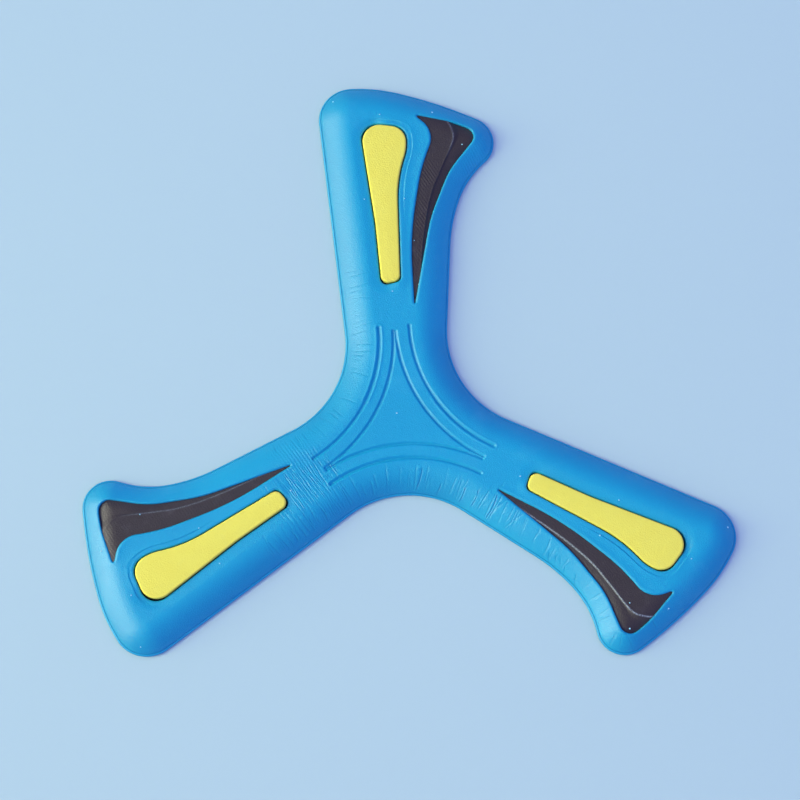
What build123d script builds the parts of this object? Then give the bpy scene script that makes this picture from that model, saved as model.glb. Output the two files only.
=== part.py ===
# Soft throwing boomerang with three blades, hot-pressed from layers of closed-cell EVA foam.
# Millimetres. The origin is the hub centre on the flat underside, +Z leaves the patterned face,
# and the axis of blade 1 is +Y. Blades 2 and 3 are blade 1 turned by 120 and 240 degrees.

import os
from math import atan2, copysign, cos, radians, sin

from build123d import *

# ---- driving dimensions ----

blade_count = 3
blade_step = 360 / blade_count

# Layers, from the table up
base_thickness = 2.0  # blue bottom skin, whose edge is the rim all round
core_thickness = 2.0  # black sheet between the skins
bed_height = 7.2  # the black sheet swells up into each pad's window, as a bed for the pad
plateau_height = 8.7  # flat top of the blue top skin
pad_height = 9.5  # yellow pads stand a little proud of the skin
flash_recess = 0.7  # black flashes lie below the skin around them

# Insets from the outline
rim_width = 1.0  # ledge of the bottom skin left showing outside the top skin
core_inset = 5.0  # the core stops short of the rim, so the two skins close over its edge

# The pillow: how far in from the outline the top skin reaches each height
pillow_steps = [(1.0, 2.0), (2.6, 4.6), (6.0, 7.0), (10.0, plateau_height)]

# Gaps and rounded edges
pad_gap = 0.4  # dark line round each pad
flash_gap = 0.1  # the flashes are pressed into their windows
base_edge_radius = 0.7
pad_edge_radius = 0.6

# Grooves pressed into the hub: pairs of arcs that bow inwards between the blades
groove_centre_radius = 76.8  # from the hub centre to each pair's shared centre
inner_groove_radius = 66.0
outer_groove_radius = 60.0
inner_groove_half_angle = 29.7
outer_groove_half_angle = 31.5
groove_width = 1.6
groove_depth = 0.8

# Outlines as corners: x, y and the radius that rounds the corner. All are for blade 1.
blade_corners = [
    (-26.0, 150.3, 14.5),  # leading tip corner
    (1.0, 149.0, 69.0),  # crown of the tip
    (25.5, 141.1, 200.0),  # long run down the tip
    (59.5, 123.7, 11.8),  # trailing tip corner, the hook
    (36.2, 105.0, 42.0),  # hollow under the hook
    (28.3, 85.1, 73.0),  # trailing edge straightens
    (19.5, 11.3, 41.6),  # hollow between this blade and the next
]

pad_corners = [
    (-8.0, 131.5, 7.4),  # wide outer end
    (11.5, 127.8, 6.9),
    (11.3, 118.2, 20.0),
    (6.2, 105.0, 60.0),  # waist
    (4.1, 60.0, 2.8),  # narrow inner end
    (-3.8, 59.0, 3.2),
    (-4.4, 85.7, 100.0),
]

flash_corners = [
    (15.9, 133.7, 0.5),  # outer point, towards the pad
    (33.1, 129.3, 48.0),
    (43.5, 123.9, 4.5),  # outer trailing corner
    (29.0, 108.0, 41.0),
    (19.3, 87.4, 70.0),
    (9.4, 48.3, 0.2),  # long inner tail
    (10.1, 79.2, 140.0),
    (17.0, 109.5, 84.0),
    (24.3, 125.4, 10.0),  # shoulder beside the pad
]


# ---- outlines ----


def rounded_outline(corners):
    """A closed flat face from corners with a radius each."""
    points = [(x, y) for x, y, _ in corners]
    radii = [radius for _, _, radius in corners]
    return make_face(FilletPolyline(*points, radius=radii, close=True))


def turned_corner(corner, angle):
    """One corner turned about the hub by an angle in degrees."""
    x, y, radius = corner
    c, s = cos(radians(angle)), sin(radians(angle))
    return (x * c - y * s, x * s + y * c, radius)


def inset_corner(before, corner, after, inset):
    """A corner of a clockwise outline whose two sides have both moved inwards by inset."""
    x, y, radius = corner
    side_in = Vector(x - before[0], y - before[1]).normalized()
    side_out = Vector(after[0] - x, after[1] - y).normalized()
    turn = atan2(side_in.cross(side_out).Z, side_in.dot(side_out))
    inwards = Vector(side_in.Y + side_out.Y, -side_in.X - side_out.X).normalized()
    moved = Vector(x, y) + inwards * (inset / cos(turn / 2))
    return (moved.X, moved.Y, radius + copysign(inset, turn))


def body_outline(inset):
    """The whole three-bladed outline, moved inwards by inset."""
    corners = [
        turned_corner(corner, -blade_step * blade)
        for blade in range(blade_count)
        for corner in blade_corners
    ]
    befores = corners[-1:] + corners[:-1]
    afters = corners[1:] + corners[:1]
    return rounded_outline(
        [inset_corner(b, c, a, inset) for b, c, a in zip(befores, corners, afters)]
    )


def on_every_blade(shape):
    """Copies of a blade 1 shape, one for each blade."""
    return [Rot(0, 0, blade_step * blade) * shape for blade in range(blade_count)]


def column(face, bottom, top):
    """A straight-sided solid over a flat face."""
    return Pos(0, 0, bottom) * extrude(face, amount=top - bottom)


# ---- shapes that several pieces share ----


def pillow():
    """The domed block under the mould's top half: sloping steps up to a flat plateau."""
    block = None
    for (low_inset, low_z), (high_inset, high_z) in zip(pillow_steps, pillow_steps[1:]):
        low = Pos(0, 0, low_z) * body_outline(low_inset)
        high = Pos(0, 0, high_z) * body_outline(high_inset)
        slab = loft([low, high], ruled=True)
        block = slab if block is None else block + slab
    return block


def hub_grooves():
    """Cutters for the arcs pressed into the hub, two between each pair of blades."""
    arcs = [
        (inner_groove_radius, inner_groove_half_angle),
        (outer_groove_radius, outer_groove_half_angle),
    ]
    cutters = []
    for radius, half_angle in arcs:
        start = 180 - half_angle
        line = CenterArc((groove_centre_radius, 0), radius, start, 2 * half_angle)
        groove = trace(line, line_width=groove_width)
        cutter = column(groove, plateau_height - groove_depth, plateau_height + 1)
        cutters += on_every_blade(Rot(0, 0, 30) * cutter)
    return cutters


# ---- pieces ----


def make_bottom_skin():
    skin = column(body_outline(0), 0, base_thickness)
    underside = skin.faces().sort_by(Axis.Z)[0]
    return fillet(underside.edges(), base_edge_radius)


def make_core_sheet():
    sheet = column(body_outline(core_inset), base_thickness, core_top)
    bed = column(pad_window_face, core_top, bed_height)
    return sheet + on_every_blade(bed)


def make_top_skin(core):
    pad_window = column(pad_window_face, core_top, pad_height)
    flash_window = column(flash_face, core_top, pad_height)
    cutters = on_every_blade(pad_window) + on_every_blade(flash_window) + hub_grooves()
    return pillow() - core - cutters


def make_pad():
    pad = column(pad_face, bed_height, pad_height)
    top = pad.faces().sort_by(Axis.Z)[-1]
    return fillet(top.edges(), pad_edge_radius)


def make_flash():
    block = column(offset(flash_face, amount=-flash_gap), core_top, pad_height)
    return block & (Pos(0, 0, -flash_recess) * pillow())


core_top = base_thickness + core_thickness
pad_face = rounded_outline(pad_corners)
pad_window_face = offset(pad_face, amount=pad_gap)
flash_face = rounded_outline(flash_corners)

core_sheet = make_core_sheet()
pieces = {
    "bottom_skin": make_bottom_skin(),
    "core_sheet": core_sheet,
    "top_skin": make_top_skin(core_sheet),
}
for number, (pad, flash) in enumerate(
    zip(on_every_blade(make_pad()), on_every_blade(make_flash())), start=1
):
    pieces[f"blade_pad_{number}"] = pad
    pieces[f"flash_inlay_{number}"] = flash

os.makedirs("parts", exist_ok=True)
for name, piece in pieces.items():
    export_step(piece, f"parts/{name}.step")
    print(name, "solids", len(piece.solids()), "volume", round(piece.volume, 1))
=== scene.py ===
import math

import bpy
import numpy as np
from mathutils import Euler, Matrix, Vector
from mathutils.geometry import delaunay_2d_cdt
from mathutils.kdtree import KDTree


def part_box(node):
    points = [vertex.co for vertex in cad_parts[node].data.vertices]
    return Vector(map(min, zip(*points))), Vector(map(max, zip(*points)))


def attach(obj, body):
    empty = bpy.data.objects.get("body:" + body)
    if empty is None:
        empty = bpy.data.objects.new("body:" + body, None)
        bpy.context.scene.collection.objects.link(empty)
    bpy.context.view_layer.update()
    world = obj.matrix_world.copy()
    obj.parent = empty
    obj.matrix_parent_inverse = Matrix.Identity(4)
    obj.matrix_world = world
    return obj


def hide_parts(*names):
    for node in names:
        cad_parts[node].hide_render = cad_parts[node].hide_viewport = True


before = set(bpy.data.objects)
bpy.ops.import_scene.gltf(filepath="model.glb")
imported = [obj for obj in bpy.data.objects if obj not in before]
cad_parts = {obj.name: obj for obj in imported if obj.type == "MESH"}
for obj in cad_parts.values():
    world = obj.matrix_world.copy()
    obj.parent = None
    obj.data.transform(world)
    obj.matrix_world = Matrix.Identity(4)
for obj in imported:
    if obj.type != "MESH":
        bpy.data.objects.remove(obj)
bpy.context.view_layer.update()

# Outlines and heights are in millimetres, with blade 1 along +Y; meshes are made in metres.
mm = 0.001
bladeTurns = (0, 120, 240)


def boxHeights(node):
    low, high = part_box(node)
    return low.z / mm, high.z / mm


baseTop = boxHeights("bottom_skin")[1]
coreTop = boxHeights("top_skin")[0] + 2.0
plateau = boxHeights("top_skin")[1]
padFoot, padTop = boxHeights("blade_pad_1")
flashFoot = boxHeights("flash_inlay_1")[0]

# Corners are x, y and the radius that rounds them, clockwise.
body = {
    "corners": [
        (-26.0, 150.3, 14.5),
        (1.0, 149.0, 69.0),
        (25.5, 141.1, 200.0),
        (59.5, 123.7, 11.8),
        (36.2, 105.0, 42.0),
        (28.3, 85.1, 73.0),
        (19.5, 11.3, 41.6),
    ],
    "rim": 0.85,  # ledge of the bottom skin outside the top skin
    "seam": 0.28,  # depth of the line between the two skins
}

skin = {
    "foot": 0.45,  # steep start of the slope at the rim
    "footReach": 0.25,
    "slope": 12.6,  # from the rim to the plateau
    "pocket": 0.45,  # the skin sinks towards each pad
    "pocketReach": 5.0,
    "leadingSide": (-2, 4),  # x over which the pocket turns into a swell
    "shoulder": 2.3,  # contour line round the outer end of each pad
    "shoulderDrop": 0.34,
    "shoulderSoft": 0.22,
    "shoulderAlong": (66, 90),  # y over which the line fades in
    "shoulderAcross": (-6, 2),  # and x, moving over by the lean
    "shoulderLean": 0.4,
    "shoulderTurn": 118,
    "rolledEdge": 0.85,  # radius of the skin's edge round each pad
    "flashEdge": 0.8,  # and round each flash, with a low bead beyond it
    "flashBead": 0.12,
    "beadPlace": 1.1,
    "beadWidth": 0.45,
    "grid": 1.0,  # mesh spacing on plain areas
    "slopeLines": (0.1, 0.25, 0.5, 0.9, 1.5, 2.3),  # mesh lines inside the rim
    "lipLines": (-0.04, -0.15, -0.32, -0.55, -0.85, -1.3),  # and round each window
    "shoulderLines": (-1.9, -2.1, -2.2, -2.3, -2.4, -2.5, -2.7),
}

groove = {
    "centre": 76.8,  # from the hub centre, half way between two blades
    "radii": (66.0, 60.0),
    "halfAngles": (29.7, 31.5),
    "halfWidth": 1.05,
    "depth": 0.78,
    "lip": 0.16,
    "lipPlace": 1.3,  # in half widths from the middle
    "lipWidth": 0.4,
    "meshLines": (0, 0.25, 0.5, 0.75, 0.95, 1.15, 1.35, 1.55, 1.8, 2.2),
    "meshGap": 0.16,
}

pad = {
    "corners": [
        (-8.0, 131.5, 7.4),
        (11.5, 127.8, 6.9),
        (11.3, 118.2, 20.0),
        (6.2, 105.0, 60.0),
        (4.1, 60.0, 2.8),
        (-3.8, 59.0, 3.2),
        (-4.4, 85.7, 100.0),
    ],
    "gap": 0.4,
    "edge": 0.7,
    "crown": 0.12,
    "crownReach": 5,
    "meshLines": (0.03, 0.12, 0.28, 0.5, 0.75, 1.1, 1.6),
}

flash = {
    "corners": [
        (15.9, 133.7, 0.5),
        (33.1, 129.3, 48.0),
        (43.5, 123.9, 4.5),
        (29.0, 108.0, 41.0),
        (19.3, 87.4, 70.0),
        (9.4, 48.3, 0.2),
        (10.1, 79.2, 140.0),
        (17.0, 109.5, 84.0),
        (24.3, 125.4, 10.0),
    ],
    "crest": [
        (29.0, 131.8), (31.4, 126.0), (31.3, 120.4), (25.3, 108.2),
        (20.1, 96.8), (15.6, 79.0), (11.3, 51.0),
    ],
    "recess": 0.6,  # below the skin beside the pad
    "step": 0.4,  # the trailing facet lies lower, beyond a crisp crest
    "scoop": 0.5,  # and lower still at the outer end
    "stepWidth": 0.45,
    "outerEnd": (114, 128),  # y over which the scoop sets in
    "outerWidth": 2.6,  # the step is this much wider there
    "fall": 0.02,  # slope of the trailing facet
    "crestLip": 0.1,
    "crestWidth": 0.3,
    "meshLines": (-0.7, -0.4, -0.2, 0, 0.12, 0.3, 0.5, 0.7, 0.9, 1.1, 1.3, 1.7),
}


def smoothStep(low, high, value):
    t = np.clip((value - low) / (high - low), 0, 1)
    return t * t * (3 - 2 * t)


def turned(points, degrees):
    c, s = math.cos(math.radians(degrees)), math.sin(math.radians(degrees))
    return np.asarray(points) @ np.array([[c, s], [-s, c]])


def cornerRows(corners):
    return zip(corners[-1:] + corners[:-1], corners, corners[1:] + corners[:1])


# Both sides of each corner of a clockwise outline move inwards by the inset.
def insetCorners(corners, inset):
    moved = []
    for before, (x, y, radius), after in cornerRows(corners):
        sideIn = Vector((x - before[0], y - before[1])).normalized()
        sideOut = Vector((after[0] - x, after[1] - y)).normalized()
        turn = math.atan2(sideIn.x * sideOut.y - sideIn.y * sideOut.x, sideIn.dot(sideOut))
        inwards = Vector((sideIn.y + sideOut.y, -sideIn.x - sideOut.x)).normalized()
        place = Vector((x, y)) + inwards * (inset / math.cos(turn / 2))
        moved.append((place.x, place.y, max(radius + math.copysign(inset, turn), 0.05)))
    return moved


# Points along a closed outline with round corners, no further apart than the step.
def roundedLoop(corners, step):
    arcs = []
    for before, (x, y, radius), after in cornerRows(corners):
        here = np.array((x, y))
        sideIn = here - before[:2]
        sideOut = np.array(after[:2]) - here
        sideIn /= np.linalg.norm(sideIn)
        sideOut /= np.linalg.norm(sideOut)
        turn = math.atan2(sideIn[0] * sideOut[1] - sideIn[1] * sideOut[0], sideIn @ sideOut)
        start = here - sideIn * radius * abs(math.tan(turn / 2))
        centre = start + np.array((-sideIn[1], sideIn[0])) * math.copysign(radius, turn)
        count = max(4, math.ceil(abs(turn) * radius / step) + 1)
        angles = np.degrees(np.linspace(0, turn, count))
        arcs.append(np.array([turned(start - centre, angle) + centre for angle in angles]))
    points = []
    for arc, following in zip(arcs, arcs[1:] + arcs[:1]):
        points.append(arc)
        straight = following[0] - arc[-1]
        count = math.ceil(np.linalg.norm(straight) / step)
        if count > 1:
            points.append(arc[-1] + straight * np.linspace(0, 1, count + 1)[1:-1, None])
    loop = np.vstack(points)
    return loop[np.linalg.norm(loop - np.roll(loop, 1, 0), axis=1) > 1e-4]


def bodyLoop(inset, step):
    corners = []
    for turn in bladeTurns:
        corners += [(*turned((x, y), -turn), radius) for x, y, radius in body["corners"]]
    return roundedLoop(insetCorners(corners, inset), step)


def rings(corners, insets, step):
    return [roundedLoop(insetCorners(corners, inset), step) for inset in insets]


def onEveryBlade(paths):
    return [turned(path, turn) for turn in bladeTurns for path in paths]


# Distance to a path, positive on the inner side of a clockwise loop.
def distanceTo(points, path, closed=True):
    starts = path if closed else path[:-1]
    along = (np.roll(path, -1, 0) if closed else path[1:]) - starts
    squares = (along ** 2).sum(1)
    found = np.empty(len(points))
    for first in range(0, len(points), 1500):
        part = slice(first, first + 1500)
        x = points[part, 0, None] - starts[:, 0]
        y = points[part, 1, None] - starts[:, 1]
        t = np.clip((x * along[:, 0] + y * along[:, 1]) / squares, 0, 1)
        x -= t * along[:, 0]
        y -= t * along[:, 1]
        gaps = x * x + y * y
        best = gaps.argmin(1)
        rows = np.arange(len(best))
        side = along[best, 1] * x[rows, best] - along[best, 0] * y[rows, best]
        found[part] = np.sqrt(gaps[rows, best]) * np.where(side < 0, -1, 1)
    return found


# Points turned so that each lies in blade 1's third of the circle.
def foldedToBlade(points):
    angle = np.degrees(np.arctan2(points[:, 1], points[:, 0]))
    sector = np.floor((angle - 30) / 120).astype(int) % 3
    folded = points.copy()
    for index, turn in enumerate(bladeTurns):
        folded[sector == index] = turned(points[sector == index], -turn)
    return folded


# A smooth curve through a few points.
def smoothPath(points, step):
    points = np.array(points, float)
    ends = np.vstack([2 * points[0] - points[1], points, 2 * points[-1] - points[-2]])
    pieces = []
    for a, b, c, d in zip(ends, ends[1:], ends[2:], ends[3:]):
        count = max(2, math.ceil(np.linalg.norm(c - b) / step))
        t = np.linspace(0, 1, count, endpoint=False)[:, None]
        pieces.append(b + 0.5 * t * (c - a + t * (2 * a - 5 * b + 4 * c - d + t * (3 * (b - c) + d - a))))
    return np.vstack(pieces + [points[-1:]])


def besidePath(path, gaps):
    ahead = np.gradient(path, axis=0)
    across = np.stack([-ahead[:, 1], ahead[:, 0]], 1) / np.linalg.norm(ahead, axis=1)[:, None]
    return np.vstack([path + across * gap for gap in gaps])


def hexGrid(low, high, spacing):
    x, y = np.meshgrid(np.arange(low[0], high[0], spacing), np.arange(low[1], high[1], spacing * 0.866))
    x[1::2] += spacing / 2
    return np.stack([x.ravel(), y.ravel()], 1)


def awayFrom(points, others, gap):
    tree = KDTree(len(others))
    for index, (x, y) in enumerate(others):
        tree.insert((x, y, 0), index)
    tree.balance()
    return points[[tree.find((x, y, 0))[2] > gap for x, y in points]]


outline = bodyLoop(0, 1.2)
padLoop = roundedLoop(pad["corners"], 0.5)
padWindow = roundedLoop(insetCorners(pad["corners"], -pad["gap"]), 0.5)
flashLoop = roundedLoop(flash["corners"], 0.5)
crestPath = smoothPath(flash["crest"], 0.6)


# Creases are short bent folds in the foam skin: a thin valley with a lip beside it.
creaseShape = {
    "width": 0.19,
    "depth": 1.4,  # factor on the depth of every crease
    "lip": 1.1,  # height of the lip as a share of the depth
    "fadeFrom": 0.55,  # of the way from the middle to an end
    "reach": 1.2,
    "limits": (-0.22, 0.18),  # where creases meet
    "scatter": 4.5,  # degrees
    "seed": 7,
    "meshLines": (-0.25, 0, 0.2, 0.4, 0.65),
}
creaseDraw = np.random.default_rng(creaseShape["seed"])


def oneCrease(middle, angle, length, depth, bend):
    run = np.array((math.cos(angle), math.sin(angle))) * length / 2
    side = np.array((-run[1], run[0])) * bend * 2
    return middle - run, middle + side, middle + run, depth


# Roughly parallel creases spread over a band from start to end; direction is in degrees.
def creaseBand(start, end, breadth, count, direction, length, depth):
    start, end = np.array(start, float), np.array(end, float)
    along = (end - start) / np.linalg.norm(end - start)
    across = np.array((-along[1], along[0]))
    found = []
    for t in (np.arange(count) + 0.5) / count:
        draw = creaseDraw.random(6) * 2 - 1
        middle = start + (end - start) * (t + 0.5 * draw[0] / count) + across * breadth / 2 * draw[1]
        size = length * (0.85 + 0.3 * draw[3])
        angle = math.radians(direction + creaseShape["scatter"] * draw[2])
        found.append(oneCrease(middle, angle, size, depth * (0.8 + 0.3 * draw[4]), 0.06 * draw[5]))
    return found


# Creases that run in from the edge between two places on the outline.
def creaseFan(start, end, count, inset, length, depth, lean=0):
    first, last = (int(np.linalg.norm(outline - place, axis=1).argmin()) for place in (start, end))
    if last < first:
        last += len(outline)
    found = []
    for t in (np.arange(count) + 0.5) / count:
        draw = creaseDraw.random(6) * 2 - 1
        index = int(first + (last - first) * (t + 0.6 * draw[0] / count)) % len(outline)
        ahead = outline[(index + 1) % len(outline)] - outline[index - 1]
        angle = math.atan2(-ahead[0], ahead[1]) + math.radians(lean + 2 * creaseShape["scatter"] * draw[1])
        size = length * (0.85 + 0.35 * draw[2])
        reach = inset + 1.5 * draw[3] + size / 2
        middle = outline[index] + np.array((math.cos(angle), math.sin(angle))) * reach
        found.append(oneCrease(middle, angle, size, depth * (0.75 + 0.4 * draw[4]), 0.08 * draw[5]))
    return found


def onBlade(number, creases):
    turn = bladeTurns[number - 1]
    return [(*(turned(point, turn) for point in crease[:3]), crease[3]) for crease in creases]


creases = []
creases += creaseBand((-29, -17), (-58, -33), 13, 56, 122, 14, 0.07)  # root of blade 2, dense and fine
creases += onBlade(2, creaseBand((-2, 34), (-2, 58), 22, 26, 2, 14, 0.05))
creases += creaseFan((-26, -31), (-62, -52), 34, 2.5, 11, 0.07)
creases += creaseFan((24, -36), (-24, -31), 19, 1.6, 12, 0.07)  # under the hub
creases += creaseFan((52, -50), (24, -36), 11, 1.2, 17, 0.1, 8)
creases += creaseFan((100, -88), (52, -50), 14, 1.2, 11, 0.085, 5)  # trailing edge of blade 3
creases += onBlade(3, creaseBand((16, 44), (15, 62), 9, 6, 150, 12, 0.05))
creases += onBlade(3, creaseBand((24, 78), (29, 96), 3, 5, 15, 8, 0.11))
creases += creaseFan((-18, 20), (-23, 68), 18, 2.0, 10, 0.05)  # leading slope of blade 1
creases += creaseFan((-58, -2), (-26, 13), 14, 2.0, 9, 0.05)
for start, bend, end, depth in (
    ((7.5, -20.0), (6.2, -25.5), (3.5, -31.0), 0.12),
    ((15.0, -27.0), (14.0, -30.0), (12.0, -33.0), 0.12),
    ((25.0, -29.0), (23.6, -33.5), (21.0, -37.0), 0.13),
    ((30.0, -32.0), (28.5, -36.0), (26.0, -39.0), 0.13),
    ((38.0, -33.0), (35.5, -40.0), (31.0, -45.0), 0.14),
):
    creases.append((np.array(start), 2 * np.array(bend) - (np.array(start) + end) / 2, np.array(end), depth))


def creasePath(crease, step):
    a, b, c, _ = crease
    t = np.linspace(0, 1, max(4, math.ceil(np.linalg.norm(c - a) / step)))[:, None]
    return (1 - t) ** 2 * a + 2 * t * (1 - t) * b + t ** 2 * c


def creaseHeight(points):
    width, reach = creaseShape["width"], creaseShape["reach"]
    change = np.zeros(len(points))
    for crease in creases:
        path = creasePath(crease, 1.2)
        near = np.flatnonzero(((points > path.min(0) - reach) & (points < path.max(0) + reach)).all(1))
        if not len(near):
            continue
        across = distanceTo(points[near], path, closed=False)
        middle = np.linalg.norm(points[near] - path[len(path) // 2], axis=1)
        halfLength = np.linalg.norm(path[-1] - path[0]) / 2
        fade = 1 - smoothStep(creaseShape["fadeFrom"], 1.0, middle / halfLength)
        lip = np.exp(-((across - 2 * width) / width) ** 2)
        valley = np.exp(-(across / width) ** 2)
        change[near] += creaseShape["depth"] * crease[3] * fade * (creaseShape["lip"] * lip - valley)
    return np.clip(change, *creaseShape["limits"])


def pillowHeight(inset):
    low = baseTop - body["seam"]
    reach = np.clip(inset - body["rim"], 0, None)
    foot = skin["foot"] * (1 - np.exp(-reach / skin["footReach"]))
    crown = 1 - (1 - np.clip(reach / skin["slope"], 0, 1)) ** 2
    return low + foot + (plateau - low - skin["foot"]) * crown


# Drop of an edge rounded to a quarter circle, gap being the distance from the edge.
def rolledEdge(gap, radius):
    reach = np.clip(radius - gap, 0, radius)
    return radius - np.sqrt(radius ** 2 - reach ** 2)


def grooveHeight(folded):
    change = np.zeros(len(folded))
    for bay in (30, 150):
        centre = turned((groove["centre"], 0), bay)
        offset = folded - centre
        angle = (np.degrees(np.arctan2(offset[:, 1], offset[:, 0])) - bay) % 360 - 180
        for radius, half in zip(groove["radii"], groove["halfAngles"]):
            bounded = np.radians(np.clip(angle, -half, half) + bay + 180)
            gap = np.linalg.norm(offset - radius * np.stack([np.cos(bounded), np.sin(bounded)], 1), axis=1)
            valley = np.clip(1 - (gap / groove["halfWidth"]) ** 2, 0, 1) ** 2
            lip = np.exp(-((gap - groove["lipPlace"] * groove["halfWidth"]) / groove["lipWidth"]) ** 2)
            change = np.minimum(change, -groove["depth"] * valley) + groove["lip"] * lip
    return change


def skinHeight(points):
    folded = foldedToBlade(points)
    height = pillowHeight(distanceTo(folded, outline))
    padGap = np.clip(-distanceTo(folded, padWindow), 0, None)
    flashGap = np.clip(-distanceTo(folded, flashLoop), 0, None)
    leading = 1 - 2 * smoothStep(*skin["leadingSide"], folded[:, 0])
    height -= skin["pocket"] * leading * (1 - smoothStep(0, skin["pocketReach"], padGap))
    across = folded[:, 0] + skin["shoulderLean"] * (folded[:, 1] - skin["shoulderTurn"])
    shoulder = smoothStep(*skin["shoulderAlong"], folded[:, 1]) * smoothStep(*skin["shoulderAcross"], across)
    soft = skin["shoulderSoft"]
    height -= skin["shoulderDrop"] * shoulder * (1 - smoothStep(-soft, soft, padGap - skin["shoulder"]))
    height -= np.maximum(rolledEdge(padGap, skin["rolledEdge"]), rolledEdge(flashGap, skin["flashEdge"]))
    height += skin["flashBead"] * np.exp(-((flashGap - skin["beadPlace"]) / skin["beadWidth"]) ** 2)
    return height + grooveHeight(folded) + creaseHeight(points)


def padHeight(points):
    inset = np.clip(distanceTo(points, padLoop), 0, None)
    crown = pad["crown"] * (smoothStep(0, pad["crownReach"], inset) - 1)
    return padTop + crown - rolledEdge(inset, pad["edge"])


def flashHeight(points):
    upper = pillowHeight(distanceTo(points, outline)) - flash["recess"]
    beyond = distanceTo(points, crestPath[::-1], closed=False)
    outer = smoothStep(*flash["outerEnd"], points[:, 1])
    width = flash["stepWidth"] + flash["outerWidth"] * outer
    share = smoothStep(0, 1, beyond / width)
    drop = flash["step"] + flash["scoop"] * outer + flash["fall"] * np.clip(beyond, 0, None)
    lip = flash["crestLip"] * np.exp(-(beyond / flash["crestWidth"]) ** 2)
    return upper - share * drop + lip


# Triangles over loops and loose points, without those that only cross a notch or a window.
def capTriangles(loops, loose, upward=True):
    rim = np.vstack(loops)
    owner = np.repeat(np.arange(len(loops)), [len(loop) for loop in loops])
    edges = []
    for loop in loops:
        first = 0 if not edges else edges[-1][0] + 1
        edges += [(first + i, first + (i + 1) % len(loop)) for i in range(len(loop))]
    points = np.vstack([rim, *loose]) if loose else rim
    _, _, faces, origins, _, _ = delaunay_2d_cdt([Vector(point) for point in points], edges, [], 0, 1e-5)
    order = np.array([origin[0] for origin in origins])
    triangles = order[np.array(faces)]
    owners = np.where(triangles < len(rim), owner[np.minimum(triangles, len(rim) - 1)], -1)
    centres = points[triangles].mean(1)
    drop = np.zeros(len(triangles), bool)
    for index, loop in enumerate(loops):
        suspects = np.flatnonzero((owners == index).all(1))
        if len(suspects):
            inside = distanceTo(centres[suspects], loop) > 0
            drop[suspects] = inside if index else ~inside
    triangles = triangles[~drop]
    a, b, c = (points[triangles[:, i]] for i in range(3))
    area = (b - a)[:, 0] * (c - a)[:, 1] - (b - a)[:, 1] * (c - a)[:, 0]
    flip = (area < 0) if upward else (area > 0)
    triangles[flip] = triangles[flip][:, ::-1]
    return points, triangles, edges


def makePiece(name, verts, faces, sharpAngle=50):
    mesh = bpy.data.meshes.new(name)
    mesh.from_pydata((verts * mm).tolist(), [], faces)
    mesh.validate()
    mesh.update()
    mesh.shade_smooth()
    mesh.set_sharp_from_angle(angle=math.radians(sharpAngle))
    piece = bpy.data.objects.new(name, mesh)
    bpy.context.scene.collection.objects.link(piece)
    return piece


# A closed piece: a top surface with the given height, upright walls and a flat foot.
def closedSheet(name, loops, loose, height, footHeights):
    points, top, edges = capTriangles(loops, loose)
    rim, foot, _ = capTriangles(loops, [], upward=False)
    footZ = np.repeat(footHeights, [len(loop) for loop in loops])
    verts = np.vstack([np.column_stack([points, height(points)]), np.column_stack([rim, footZ])])
    base = len(points)
    walls = [(j, i, i + base, j + base) for i, j in edges]
    return makePiece(name, verts, top.tolist() + (foot + base).tolist() + walls)


# A closed solid from body outlines at each (inset, height), with flat ends.
def ringStack(name, profile, step):
    guide = bodyLoop(0, step)
    ahead = np.roll(guide, -1, 0) - np.roll(guide, 1, 0)
    inward = np.stack([ahead[:, 1], -ahead[:, 0]], 1) / np.linalg.norm(ahead, axis=1)[:, None]
    count = len(guide)
    verts = [np.column_stack([guide + inward * inset, np.full(count, z)]) for inset, z in profile]
    faces = []
    for level in range(len(profile) - 1):
        a, b = level * count, (level + 1) * count
        faces += [(a + i, a + (i + 1) % count, b + (i + 1) % count, b + i) for i in range(count)]
    total = count * len(profile)
    for level in (0, len(profile) - 1):
        loop = verts[level][:, :2]
        grid = hexGrid(loop.min(0), loop.max(0), 2.5)
        grid = grid[distanceTo(grid, loop) > 1.2]
        _, triangles, _ = capTriangles([loop], [grid], upward=level > 0)
        index = np.concatenate([np.arange(count) + level * count, np.arange(len(grid)) + total])
        verts.append(np.column_stack([grid, np.full(len(grid), profile[level][1])]))
        faces += index[triangles].tolist()
        total += len(grid)
    return makePiece(name, np.vstack(verts), [face[::-1] for face in faces], 70)


# Mesh points along and across every groove, closer where it bends.
def groovePoints():
    found = []
    across = groove["meshLines"]
    for turn in bladeTurns:
        centre = turned((groove["centre"], 0), 30 + turn)
        for radius, half in zip(groove["radii"], groove["halfAngles"]):
            rows = []
            for gap in sorted({sign * value for value in across for sign in (-1, 1)}):
                count = math.ceil(math.radians(2 * half) * radius / 0.5)
                angles = 210 + turn + np.linspace(-half, half, count)
                rows.append(np.array([turned((radius + gap, 0), angle) + centre for angle in angles]))
            for end in (-half, half):
                tip = turned((radius, 0), 210 + turn + end) + centre
                outwards = 210 + turn + end + math.copysign(90, end)
                for gap in across[1:]:
                    angles = outwards + np.linspace(-75, 75, max(3, math.ceil(gap * 5)))
                    rows.append(np.array([turned((gap, 0), angle) + tip for angle in angles]))
            rows = np.vstack(rows)
            found.append(awayFrom(rows, np.vstack(found), groove["meshGap"]) if found else rows)
    return found


def outsideWindows(points, gap):
    folded = foldedToBlade(points)
    return points[(distanceTo(folded, padWindow) < -gap) & (distanceTo(folded, flashLoop) < -gap)]


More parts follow.
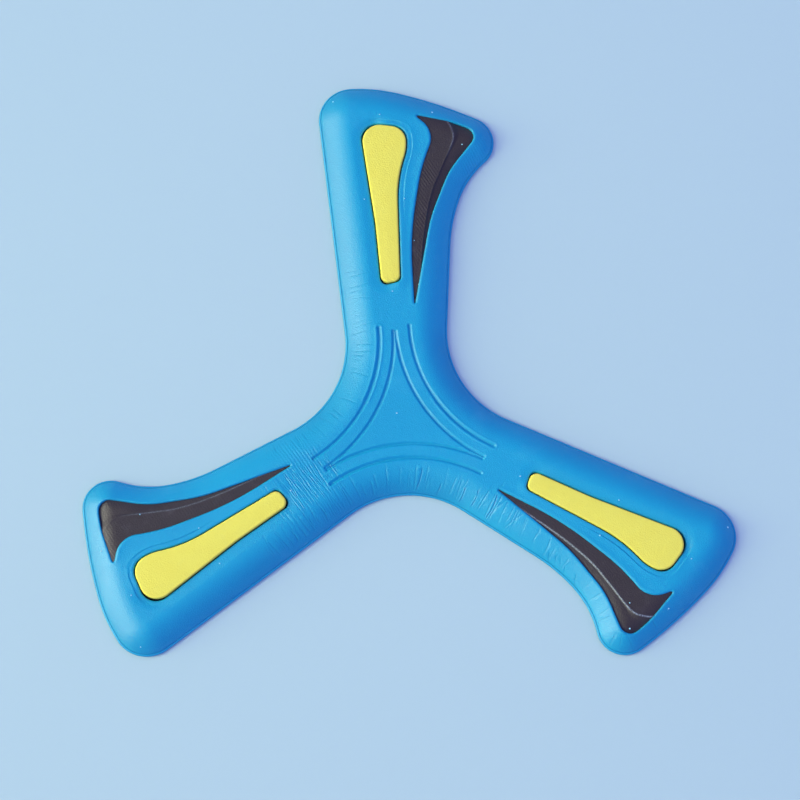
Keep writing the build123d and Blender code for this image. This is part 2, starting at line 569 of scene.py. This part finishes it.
def makeTopSkin():
    outer = bodyLoop(body["rim"], 0.8)
    padHole = roundedLoop(insetCorners(pad["corners"], -pad["gap"]), 0.55)
    holes = onEveryBlade([padHole, flashLoop])
    slopes = [bodyLoop(body["rim"] + gap, 0.8) for gap in skin["slopeLines"]]
    padLines = [line - pad["gap"] for line in skin["lipLines"] + skin["shoulderLines"]]
    around = rings(pad["corners"], padLines, 0.45) + rings(flash["corners"], skin["lipLines"], 0.6)
    fine = np.vstack(groovePoints() + slopes + [outsideWindows(path, 0.02) for path in onEveryBlade(around)])
    folds = np.vstack([besidePath(creasePath(crease, 0.6), creaseShape["meshLines"]) for crease in creases])
    folds = folds[distanceTo(folds, outline) > body["rim"] + 0.4]
    folds = awayFrom(outsideWindows(folds, 0.3), np.vstack([outer, *holes, fine]), 0.22)
    grid = hexGrid(outer.min(0), outer.max(0), skin["grid"])
    grid = grid[distanceTo(grid, outline) > body["rim"] + 2.6]
    grid = awayFrom(outsideWindows(grid, 0.3), np.vstack([outer, *holes, fine, folds]), 0.5 * skin["grid"])
    feet = [baseTop - body["seam"] - 0.35] + [coreTop + 0.1] * len(holes)
    return closedSheet("topSkin", [outer, *holes], [fine, folds, grid], skinHeight, feet)


topSkin = makeTopSkin()
print("top skin", len(topSkin.data.polygons), "faces")

# Insets from the outline and heights, from the flat face round the rim to the seam.
seamBottom = baseTop - body["seam"] - 0.2
base = {
    "rim": [
        (2.2, 0.0), (1.3, 0.02), (0.7, 0.1), (0.3, 0.28), (0.08, 0.52),
        (0.0, 0.8), (0.03, 1.05), (0.12, 1.32), (0.28, 1.56), (0.46, 1.74),
    ],
    "ledge": [(0.62, baseTop - 0.16), (0.74, baseTop - 0.15), (0.82, baseTop - 0.22)],
    "underSkin": [(0.88, seamBottom), (1.8, seamBottom)],
}
bottomSkin = ringStack("bottomSkin", base["rim"] + base["ledge"] + base["underSkin"], 0.9)
print("bottom skin", len(bottomSkin.data.polygons), "faces")


def makePad(number, turn):
    fine = rings(pad["corners"], pad["meshLines"], 0.55)
    grid = hexGrid(padLoop.min(0), padLoop.max(0), 0.9)
    grid = grid[distanceTo(grid, padLoop) > 1.9]
    piece = closedSheet(f"bladePad{number}", [padLoop], [np.vstack(fine), grid], padHeight, [padFoot])
    piece.data.transform(Euler((0, 0, math.radians(turn))).to_matrix().to_4x4())
    return piece


def makeFlash(number, turn):
    outer = roundedLoop(insetCorners(flash["corners"], 0.02), 0.5)
    lines = besidePath(crestPath, flash["meshLines"])
    lines = lines[distanceTo(lines, outer) > 0.25]
    grid = hexGrid(outer.min(0), outer.max(0), 0.7)
    grid = awayFrom(grid[distanceTo(grid, outer) > 0.35], lines, 0.35)
    piece = closedSheet(f"flashInlay{number}", [outer], [lines, grid], flashHeight, [flashFoot])
    piece.data.transform(Euler((0, 0, math.radians(turn))).to_matrix().to_4x4())
    return piece


pads = [makePad(number, turn) for number, turn in enumerate(bladeTurns, 1)]
flashes = [makeFlash(number, turn) for number, turn in enumerate(bladeTurns, 1)]
print("pads and flashes", [len(piece.data.polygons) for piece in (pads[0], flashes[0])], "faces each")

# Vent pips are the tiny raised dots that the mould's air holes leave on the skin.
pips = {
    "radius": 0.36,
    "height": 0.24,
    "rings": ((1.0, -0.15), (0.85, 0.45), (0.5, 0.85)),  # shares of the radius and the height
    "sides": 10,
    "smallest": 0.7,  # sizes vary from here up by the spread
    "spread": 0.5,
    "seed": 3,
    "everyBlade": [(-8.4, 97), (8.8, 96), (23.8, 134.6), (-18.5, 143), (1, 134.5), (0.5, 55.5)],
    "hub": [(-1.7, 2.5)],
    "onFlash": [[(35.5, 119), (11.5, 77.3), (12.2, 57.8)], [(27.5, 113)], [(29, 119), (38.5, 123.5)]],
}


def makePips():
    places = [turned(place, turn) for turn in bladeTurns for place in pips["everyBlade"]]
    places += [np.array(place, float) for place in pips["hub"]]
    heights = list(skinHeight(np.array(places)))
    for group, turn in zip(pips["onFlash"], bladeTurns):
        heights += list(flashHeight(np.array(group, float)))
        places += [turned(place, turn) for place in group]
    draw = np.random.default_rng(pips["seed"])
    sides = pips["sides"]
    verts, faces = [], []
    for (x, y), z in zip(places, heights):
        size = pips["smallest"] + pips["spread"] * draw.random()
        first = len(verts)
        for reach, rise in pips["rings"]:
            radius = pips["radius"] * size * reach
            level = z + pips["height"] * rise
            for step in range(sides):
                angle = math.tau * step / sides
                verts.append((x + radius * math.cos(angle), y + radius * math.sin(angle), level))
        tip = len(verts)
        verts.append((x, y, z + pips["height"]))
        verts.append((x, y, z + pips["height"] * pips["rings"][0][1]))
        for step in range(sides):
            after = (step + 1) % sides
            for low in (first, first + sides):
                high = low + sides
                faces.append((low + step, low + after, high + after, high + step))
            faces.append((tip - sides + step, tip - sides + after, tip))
            faces.append((first + after, first + step, tip + 1))
    return makePiece("ventPips", np.array(verts), faces)


ventPips = makePips()
print("vent pips", len(ventPips.data.polygons), "faces")

for piece, node, slot in (
    (topSkin, "top_skin", "blue_skin_foam"),
    (bottomSkin, "bottom_skin", "blue_base_foam"),
    *((piece, f"blade_pad_{n}", "yellow_pad_foam") for n, piece in enumerate(pads, 1)),
    *((piece, f"flash_inlay_{n}", "black_flash_foam") for n, piece in enumerate(flashes, 1)),
):
    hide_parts(node)
    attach(piece, "root")
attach(ventPips, "root")


# Where painted shade darkens the skin, where lines from the mould show and where a painted highlight runs
# pale along the flash crests.
shade = {
    "rimReach": 13,
    "trailingShare": 0.7,  # the painted shade is this much weaker on the trailing slopes
    "trailingAcross": (8, 15),
    "trailingRoot": (28, 45),
    "trailingTip": (128, 112),
    "fullCrease": 0.12,  # a crease this deep gets the full painted shade
    "grooveShare": 0.3,
    "besideFlash": 0.45,  # strength of the lines beside blade 1's flash
    "besideAcross": (13, 17),
    "besideAlong": (80, 94),
    "root": (-44, -26),  # middle of the lined patch at the root of blade 2
    "rootStrength": 0.8,
    "rootReach": (12, 26),
    "flashLines": (1.0, 0.35, 0.2),  # one strength for each blade
    "paintedCrestHighlight": (0.45, 0.4, 1.0),
    "highlightFrom": (112, 122),
    "highlightPlace": -0.1,
    "highlightWidth": 0.3,
}


def storeShade(piece, name, values):
    layer = piece.data.attributes.new(name, "FLOAT", "POINT")
    layer.data.foreach_set("value", np.asarray(values, np.float32))


skinPoints = np.empty(len(topSkin.data.vertices) * 3, np.float32)
topSkin.data.vertices.foreach_get("co", skinPoints)
skinPoints = skinPoints.reshape(-1, 3)[:, :2] / mm
skinFolded = foldedToBlade(skinPoints)
# Painted shade: the skin is darkened near the rim, less on the trailing slopes.
trailing = smoothStep(*shade["trailingAcross"], skinFolded[:, 0])
trailing *= smoothStep(*shade["trailingRoot"], skinFolded[:, 1])
trailing *= smoothStep(*shade["trailingTip"], skinFolded[:, 1])
nearRim = 1 - smoothStep(0, shade["rimReach"], distanceTo(skinFolded, outline))
storeShade(topSkin, "rimShadeMask", (1 - shade["trailingShare"] * trailing) * nearRim)
# Painted shade in the creases and grooves.
folds = -creaseHeight(skinPoints) / shade["fullCrease"] - shade["grooveShare"] * grooveHeight(skinFolded)
storeShade(topSkin, "foldShadeMask", np.clip(folds, 0, 1))

besideFlash = smoothStep(*shade["besideAcross"], skinPoints[:, 0])
besideFlash *= smoothStep(*shade["besideAlong"], skinPoints[:, 1])
fromRoot = np.linalg.norm(skinPoints - shade["root"], axis=1)
lined = shade["rootStrength"] * (1 - smoothStep(*shade["rootReach"], fromRoot))
storeShade(topSkin, "drawn", shade["besideFlash"] * besideFlash + lined)
for piece, strength in zip(flashes, shade["flashLines"]):
    storeShade(piece, "drawn", np.full(len(piece.data.vertices), strength))

# A painted highlight runs pale along blade 1's crest at its outer end, blade 2's at its inner end and blade
# 3's all along.
for piece, turn, strength in zip(flashes, bladeTurns, shade["paintedCrestHighlight"]):
    points = np.array([vertex.co[:2] for vertex in piece.data.vertices]) / mm
    offCrest = distanceTo(turned(points, -turn), crestPath, closed=False)
    outwards = smoothStep(*shade["highlightFrom"], turned(points, -turn)[:, 1])
    fade = {0: outwards, 120: 1 - outwards, 240: 1}[turn]
    highlightShare = np.exp(-((offCrest - shade["highlightPlace"]) / shade["highlightWidth"]) ** 2)
    storeShade(piece, "paintedCrestHighlight", strength * fade * highlightShare)
print("masks on", 1 + len(flashes), "pieces")


def newGroup(name, inputs, outputs):
    group = bpy.data.node_groups.new(name, "ShaderNodeTree")
    for label, kind, value in inputs:
        socket = group.interface.new_socket(label, in_out="INPUT", socket_type=kind)
        socket.default_value = value
    for label, kind in outputs:
        group.interface.new_socket(label, in_out="OUTPUT", socket_type=kind)
    return group, group.nodes.new("NodeGroupInput"), group.nodes.new("NodeGroupOutput")


def addNode(tree, kind, settings=None, **links):
    node = tree.nodes.new(kind)
    for key, value in (settings or {}).items():
        setattr(node, key, value)
    for socket, source in links.items():
        numbered = socket[0] == "i" and socket[1:].isdigit()
        target = node.inputs[int(socket[1:]) if numbered else socket.replace("_", " ")]
        if isinstance(source, bpy.types.NodeSocket):
            tree.links.new(source, target)
        else:
            target.default_value = source
    return node


def mathNode(tree, operation, a, b=0.0, c=0.0):
    return addNode(tree, "ShaderNodeMath", {"operation": operation}, i0=a, i1=b, i2=c).outputs[0]


def noise(tree, place, scale, detail, roughness):
    node = addNode(tree, "ShaderNodeTexNoise", Vector=place, Scale=scale, Detail=detail, Roughness=roughness)
    return node.outputs["Fac"]


def mapRange(tree, value, low, high, newLow=0.0, newHigh=1.0):
    return addNode(
        tree, "ShaderNodeMapRange", Value=value, From_Min=low, From_Max=high, To_Min=newLow, To_Max=newHigh,
    ).outputs["Result"]


def mixColours(tree, share, first, second, blend="MIX"):
    settings = {"data_type": "RGBA", "blend_type": blend}
    return addNode(tree, "ShaderNodeMix", settings, i0=share, i6=first, i7=second).outputs[2]


# Closed-cell foam skin: fine cells, finer grain and soft unevenness, as a height and a tone.
def makeFoamGrain():
    group, given, out = newGroup("foamGrain", [
        ("Cell Size", "NodeSocketFloat", 0.0006),
        ("Cell Depth", "NodeSocketFloat", 0.5),
        ("Swell Size", "NodeSocketFloat", 0.006),
        ("Swell Depth", "NodeSocketFloat", 0.5),
    ], [("Height", "NodeSocketFloat"), ("Tone", "NodeSocketFloat")])
    place = addNode(group, "ShaderNodeTexCoord").outputs["Object"]
    cellScale = mathNode(group, "DIVIDE", 1.0, given.outputs["Cell Size"])
    swellScale = mathNode(group, "DIVIDE", 1.0, given.outputs["Swell Size"])
    cells = addNode(group, "ShaderNodeTexVoronoi", Vector=place, Scale=cellScale)
    grain = noise(group, place, cellScale, 3.0, 0.65)
    swell = noise(group, place, swellScale, 2.0, 0.5)
    fine = mathNode(group, "ADD", cells.outputs["Distance"], grain)
    fine = mathNode(group, "MULTIPLY", fine, given.outputs["Cell Depth"])
    height = mathNode(group, "MULTIPLY_ADD", swell, given.outputs["Swell Depth"], fine)
    group.links.new(height, out.inputs["Height"])
    group.links.new(grain, out.inputs["Tone"])
    return group


# Slow drift between two tones of one colour, with pale patches that are partly scuffs and partly painted
# sheen.
def makeColourDrift():
    group, given, out = newGroup("colourDrift", [
        ("Colour", "NodeSocketColor", (0.5, 0.5, 0.5, 1)),
        ("Other Tone", "NodeSocketColor", (0.5, 0.5, 0.5, 1)),
        ("Scuff", "NodeSocketColor", (0.8, 0.8, 0.8, 1)),
        ("Patch Size", "NodeSocketFloat", 0.03),
        ("Scuff Amount", "NodeSocketFloat", 0.2),
        ("Grain", "NodeSocketFloat", 0.5),
        ("Grain Amount", "NodeSocketFloat", 0.3),
    ], [("Colour", "NodeSocketColor"), ("ScuffAndSheenShare", "NodeSocketFloat")])
    place = addNode(group, "ShaderNodeTexCoord").outputs["Object"]
    scale = mathNode(group, "DIVIDE", 1.0, given.outputs["Patch Size"])
    patches = noise(group, place, scale, 4.0, 0.6)
    scuffAndSheenScale = mathNode(group, "MULTIPLY", scale, 1.7)  # the scuffs and painted sheen are finer than the patches
    scuffAndSheenPatches = noise(group, place, scuffAndSheenScale, 6.0, 0.7)
    # Pale patches: partly scuffs, partly painted sheen.
    scuffAndSheenMix = mathNode(group, "MULTIPLY", mapRange(group, scuffAndSheenPatches, 0.56, 0.78), given.outputs["Scuff Amount"])
    grain = mathNode(group, "SUBTRACT", given.outputs["Grain"], 0.5)
    drift = mathNode(group, "MULTIPLY_ADD", grain, given.outputs["Grain Amount"], patches)
    toned = mixColours(group, drift, given.outputs["Colour"], given.outputs["Other Tone"])
    final = mixColours(group, scuffAndSheenMix, toned, given.outputs["Scuff"])
    group.links.new(final, out.inputs["Colour"])
    group.links.new(scuffAndSheenMix, out.inputs["ScuffAndSheenShare"])
    return group


# Brushed lines across the foam where it was drawn out of the mould.
def makeDrawLines():
    group, given, out = newGroup("drawLines", [
        ("Spacing", "NodeSocketFloat", 0.0012),
        ("Angle", "NodeSocketFloat", 0.0),
        ("Patch Size", "NodeSocketFloat", 0.03),
    ], [("Height", "NodeSocketFloat")])
    place = addNode(group, "ShaderNodeTexCoord").outputs["Object"]
    angle = addNode(group, "ShaderNodeCombineXYZ", Z=given.outputs["Angle"]).outputs[0]
    turnedPlace = addNode(group, "ShaderNodeMapping", Vector=place, Rotation=angle).outputs[0]
    scale = mathNode(group, "DIVIDE", 0.314, given.outputs["Spacing"])  # about one wave per spacing
    waves = addNode(
        group, "ShaderNodeTexWave", {"bands_direction": "X"}, Vector=turnedPlace, Scale=scale,
        Distortion=1.2, Detail=2.0, Detail_Scale=0.6,
    ).outputs["Fac"]
    patchScale = mathNode(group, "DIVIDE", 1.0, given.outputs["Patch Size"])
    fade = mapRange(group, noise(group, place, patchScale, 2.0, 0.5), 0.42, 0.62)
    group.links.new(mathNode(group, "MULTIPLY", waves, fade), out.inputs["Height"])
    return group


foamGrain = makeFoamGrain()
colourDrift = makeColourDrift()
drawLines = makeDrawLines()


def placeGroup(tree, group, **values):
    node = tree.nodes.new("ShaderNodeGroup")
    node.node_tree = group
    for socket, value in values.items():
        target = node.inputs[socket.replace("_", " ")]
        if isinstance(value, bpy.types.NodeSocket):
            tree.links.new(value, target)
        else:
            target.default_value = (*value, 1) if isinstance(value, tuple) else value
    return node


def mask(tree, attribute):
    return addNode(tree, "ShaderNodeAttribute", {"attribute_name": attribute}).outputs["Fac"]


# One foam finish: look holds colours and sizes, fixed holds what goes straight onto the shader.
def foamMaterial(name, look, fixed, creased=False):
    material = bpy.data.materials.new(name)
    material.use_nodes = True
    tree = material.node_tree
    shader = tree.nodes["Principled BSDF"]
    for socket, value in fixed.items():
        shader.inputs[socket].default_value = value
    grain = placeGroup(
        tree, foamGrain, Cell_Size=look["cell"], Cell_Depth=look["cellDepth"],
        Swell_Size=look["swell"], Swell_Depth=look["swellDepth"],
    )
    drift = placeGroup(
        tree, colourDrift, Colour=look["colour"], Other_Tone=look["tone"], Scuff=look["scuffAndSheen"],
        Patch_Size=look["patch"], Scuff_Amount=look["scuffAndSheenAmount"],
        Grain=grain.outputs["Tone"], Grain_Amount=look["grainAmount"],
    )
    colour = drift.outputs["Colour"]
    if creased:
        # Painted shade: the rim and fold masks darken the colour.
        for attribute, tint in (("rimShadeMask", look["rimShade"]), ("foldShadeMask", look["foldShade"])):
            colour = mixColours(tree, mask(tree, attribute), colour, (*tint, 1), "MULTIPLY")
    # Painted highlight: a pale line along the flash crests, broken up by the grain.
    if "crestHighlightColour" in look:
        patchy = mapRange(tree, grain.outputs["Tone"], 0.35, 0.6)
        highlightShare = mathNode(tree, "MULTIPLY", mask(tree, "paintedCrestHighlight"), patchy)
        colour = mixColours(tree, highlightShare, colour, (*look["crestHighlightColour"], 1))
    tree.links.new(colour, shader.inputs["Base Color"])
    rough = mapRange(tree, grain.outputs["Tone"], 0.3, 0.7, *look["roughness"])
    tree.links.new(rough, shader.inputs["Roughness"])
    height = grain.outputs["Height"]
    if "lines" in look:
        lines = placeGroup(
            tree, drawLines, Spacing=look["lines"], Angle=look["linesAngle"], Patch_Size=look["linesPatch"],
        )
        drawn = mathNode(tree, "MULTIPLY", mask(tree, "drawn"), look["linesDepth"])
        height = mathNode(tree, "MULTIPLY_ADD", lines.outputs["Height"], drawn, height)
    bump = addNode(tree, "ShaderNodeBump", Strength=look["bump"], Distance=0.0001, Height=height)
    tree.links.new(bump.outputs["Normal"], shader.inputs["Normal"])
    return material


# The skin's rimShade and foldShade tints are painted shade.
blueSkinFoam = foamMaterial("blueSkinFoam", {
    "colour": (0.0012, 0.335, 0.60), "tone": (0.0012, 0.395, 0.68), "scuffAndSheen": (0.06, 0.45, 0.72),
    "patch": 0.035, "scuffAndSheenAmount": 0.3, "grainAmount": 1.6,
    "rimShade": (1.0, 0.78, 0.86), "foldShade": (0.85, 0.85, 0.9),
    "cell": 0.00042, "cellDepth": 1.2, "swell": 0.004, "swellDepth": 0.5,
    "lines": 0.0013, "linesAngle": -0.52, "linesPatch": 0.02, "linesDepth": 1.6,
    "roughness": (0.38, 0.5), "bump": 0.7,
}, {"Specular IOR Level": 0.5}, creased=True)

blueBaseFoam = foamMaterial("blueBaseFoam", {
    "colour": (0.0012, 0.30, 0.58), "tone": (0.0012, 0.34, 0.62), "scuffAndSheen": (0.08, 0.42, 0.68),
    "patch": 0.03, "scuffAndSheenAmount": 0.3, "grainAmount": 0.5,
    "cell": 0.0008, "cellDepth": 0.4, "swell": 0.006, "swellDepth": 0.8,
    "roughness": (0.5, 0.62), "bump": 0.7,
}, {"Specular IOR Level": 0.5})

yellowPadFoam = foamMaterial("yellowPadFoam", {
    "colour": (0.95, 0.74, 0.10), "tone": (1.0, 0.82, 0.135), "scuffAndSheen": (0.9, 0.76, 0.2),
    "patch": 0.008, "scuffAndSheenAmount": 0.3, "grainAmount": 1.2,
    "cell": 0.0005, "cellDepth": 0.9, "swell": 0.004, "swellDepth": 0.4,
    "roughness": (0.75, 0.9), "bump": 0.8,
}, {"Specular IOR Level": 0.25})

# The flash's crest colour is a painted highlight along the crest.
blackFlashFoam = foamMaterial("blackFlashFoam", {
    "colour": (0.050, 0.035, 0.044), "tone": (0.072, 0.051, 0.064), "scuffAndSheen": (0.13, 0.11, 0.13),
    "crestHighlightColour": (0.40, 0.42, 0.48),
    "patch": 0.012, "scuffAndSheenAmount": 0.35, "grainAmount": 1.0,
    "cell": 0.0005, "cellDepth": 1.2, "swell": 0.004, "swellDepth": 0.8,
    "lines": 0.0012, "linesAngle": -0.52, "linesPatch": 0.02, "linesDepth": 1.4,
    "roughness": (0.36, 0.48), "bump": 0.8,
}, {"Specular IOR Level": 0.45})

blackCoreFoam = foamMaterial("blackCoreFoam", {
    "colour": (0.010, 0.010, 0.012), "tone": (0.018, 0.017, 0.02), "scuffAndSheen": (0.03, 0.03, 0.035),
    "patch": 0.01, "scuffAndSheenAmount": 0.2, "grainAmount": 1.0,
    "cell": 0.0006, "cellDepth": 1.0, "swell": 0.003, "swellDepth": 0.4,
    "roughness": (0.7, 0.9), "bump": 0.8,
}, {"Specular IOR Level": 0.2})

palePipFoam = foamMaterial("palePipFoam", {
    "colour": (0.30, 0.68, 0.88), "tone": (0.45, 0.76, 0.9), "scuffAndSheen": (0.6, 0.8, 0.9),
    "patch": 0.004, "scuffAndSheenAmount": 0.5, "grainAmount": 0.5,
    "cell": 0.0003, "cellDepth": 0.5, "swell": 0.001, "swellDepth": 0.3,
    "roughness": (0.4, 0.5), "bump": 0.4,
}, {"Specular IOR Level": 0.6})

for piece, material in (
    (topSkin, blueSkinFoam), (bottomSkin, blueBaseFoam), (ventPips, palePipFoam),
    *((piece, yellowPadFoam) for piece in pads), *((piece, blackFlashFoam) for piece in flashes),
):
    piece.data.materials.append(material)
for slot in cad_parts["core_sheet"].material_slots:
    slot.material = blackCoreFoam
print("materials", len(bpy.data.materials))


# The key lamp shapes the forms and the sheen lamp only shines on them.
def softLight(name, look):
    lamp = bpy.data.lights.new(name, "AREA")
    lamp.shape = "RECTANGLE"
    lamp.size, lamp.size_y = look["size"]
    lamp.energy = look["energy"]
    lamp.spread = math.radians(look["spread"])
    lamp.color = look["colour"]
    holder = bpy.data.objects.new(name, lamp)
    holder.location = look["place"]
    holder.rotation_euler = (-Vector(look["place"])).to_track_quat("-Z", "Y").to_euler()
    bpy.context.scene.collection.objects.link(holder)
    holder.visible_camera = False
    holder.visible_diffuse = look["diffuse"]
    holder.visible_glossy = not look["diffuse"]


studio = {
    "key": {
        "place": (-2.12, 0.0, 1.13), "size": (1.5, 2.1), "energy": 15.2,
        "colour": (0.82, 1.0, 0.44), "spread": 70, "diffuse": True,
    },
    "sheen": {
        "place": (-2.16, 0.0, 1.0), "size": (1.6, 1.3), "energy": 80,
        "colour": (1.0, 0.98, 0.84), "spread": 180, "diffuse": False,
    },
    "ambient": (0.43, 0.50, 1.0, 1),
    "backdrop": (0.42, 0.60, 0.83, 1),
    "floor": (0.525, 0.63, 0.675),
    "floorTone": 1.02,
    "floorHalf": 3,
}

floorMesh = bpy.data.meshes.new("floor")
half = studio["floorHalf"]
floorCorners = [(-half, -half, 0), (half, -half, 0), (half, half, 0), (-half, half, 0)]
floorMesh.from_pydata(floorCorners, [], [(0, 1, 2, 3)])
floor = bpy.data.objects.new("floor", floorMesh)
bpy.context.scene.collection.objects.link(floor)
palePaint = foamMaterial("palePaint", {
    "colour": studio["floor"], "tone": tuple(value * studio["floorTone"] for value in studio["floor"]),
    "scuffAndSheen": studio["floor"], "patch": 0.25, "scuffAndSheenAmount": 0.0, "grainAmount": 0.3,
    "cell": 0.0015, "cellDepth": 0.15, "swell": 0.05, "swellDepth": 0.2,
    "roughness": (0.9, 0.95), "bump": 0.15,
}, {"Specular IOR Level": 0.0})
floorMesh.materials.append(palePaint)

softLight("keyLight", studio["key"])
softLight("sheenLight", studio["sheen"])
world = bpy.data.worlds.new("studio")
world.use_nodes = True
seen = addNode(world.node_tree, "ShaderNodeLightPath").outputs["Is Camera Ray"]
sky = mixColours(world.node_tree, seen, studio["ambient"], studio["backdrop"])
world.node_tree.links.new(sky, world.node_tree.nodes["Background"].inputs["Color"])
world.cycles_visibility.glossy = False
bpy.context.scene.world = world
bpy.context.scene.view_settings.view_transform = "Standard"
print("studio lights", len(bpy.data.lights))

camera = {
    "place": (-0.04176, -0.22363, 1.06403),
    "angles": (12.508, -1.299, -4.4),  # degrees
    "lens": 115.6,
    "sensor": 36,
}
cameraData = bpy.data.cameras.new("camera")
cameraData.lens = camera["lens"]
cameraData.sensor_width = camera["sensor"]
cameraObject = bpy.data.objects.new("camera", cameraData)
cameraObject.location = camera["place"]
cameraObject.rotation_euler = [math.radians(angle) for angle in camera["angles"]]
bpy.context.scene.collection.objects.link(cameraObject)
bpy.context.scene.camera = cameraObject
